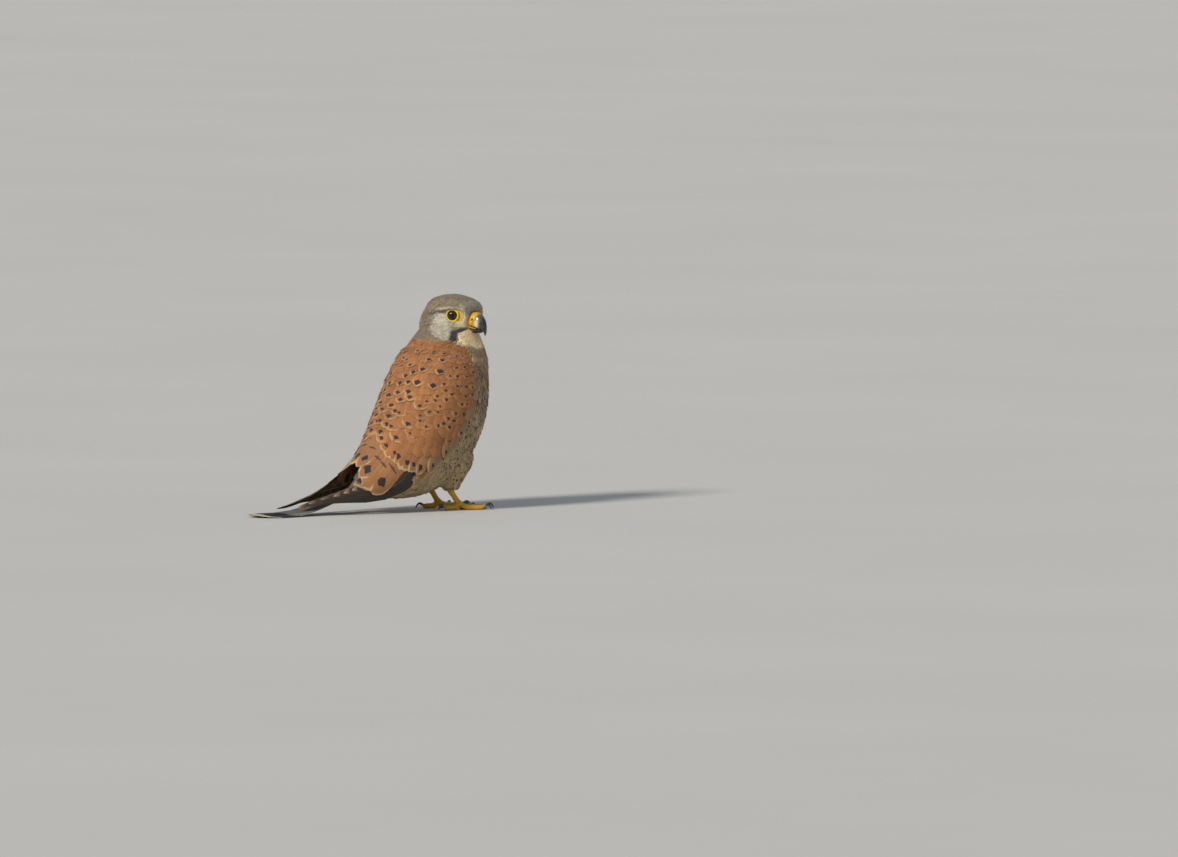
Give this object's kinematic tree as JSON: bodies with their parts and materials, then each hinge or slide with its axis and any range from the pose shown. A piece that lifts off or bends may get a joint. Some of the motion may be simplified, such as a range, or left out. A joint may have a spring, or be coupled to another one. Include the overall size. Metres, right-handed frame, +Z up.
{
  "type": "common kestrel",
  "caption": "Life-size adult male common kestrel, standing upright at rest with its tail on the floor and its head turned to its right.",
  "frame": {"origin": "on the floor, under the middle of the bird's bounding box", "axes": "the bird faces -Y, its left side is +X, +Z is up; its head is turned 75 degrees to its right, towards -X"},
  "size_m": [0.092, 0.2466, 0.1889],
  "materials": {
    "rufous": "matt rufous feathers with dark spots",
    "grey_head": "matt grey feathers, finely streaked",
    "buff": "matt buff feathers with dark streaks",
    "dark_feather": "satin dark brown flight feathers",
    "tail_grey": "satin grey tail feathers with a black band",
    "yellow_skin": "bare yellow scaled skin",
    "horn": "polished blue-black horn",
    "eye": "wet dark brown eye"
  },
  "bodies": {
    "root": {"head": "grey_head", "neck": "rufous", "trunk": "buff", "rump": "tail_grey", "tail": "tail_grey", "thigh_left": "buff", "thigh_right": "buff", "wing_left": "rufous", "wing_right": "rufous", "primaries_left": "dark_feather", "primaries_right": "dark_feather", "foot_left": "yellow_skin", "foot_right": "yellow_skin", "claw_left_inner": "horn", "claw_left_middle": "horn", "claw_left_outer": "horn", "claw_left_hind": "horn", "claw_right_inner": "horn", "claw_right_middle": "horn", "claw_right_outer": "horn", "claw_right_hind": "horn", "eye_left": "eye", "eye_right": "eye", "cere": "yellow_skin", "bill_upper": "horn", "bill_lower": "horn"}
  },
  "joints": []
}
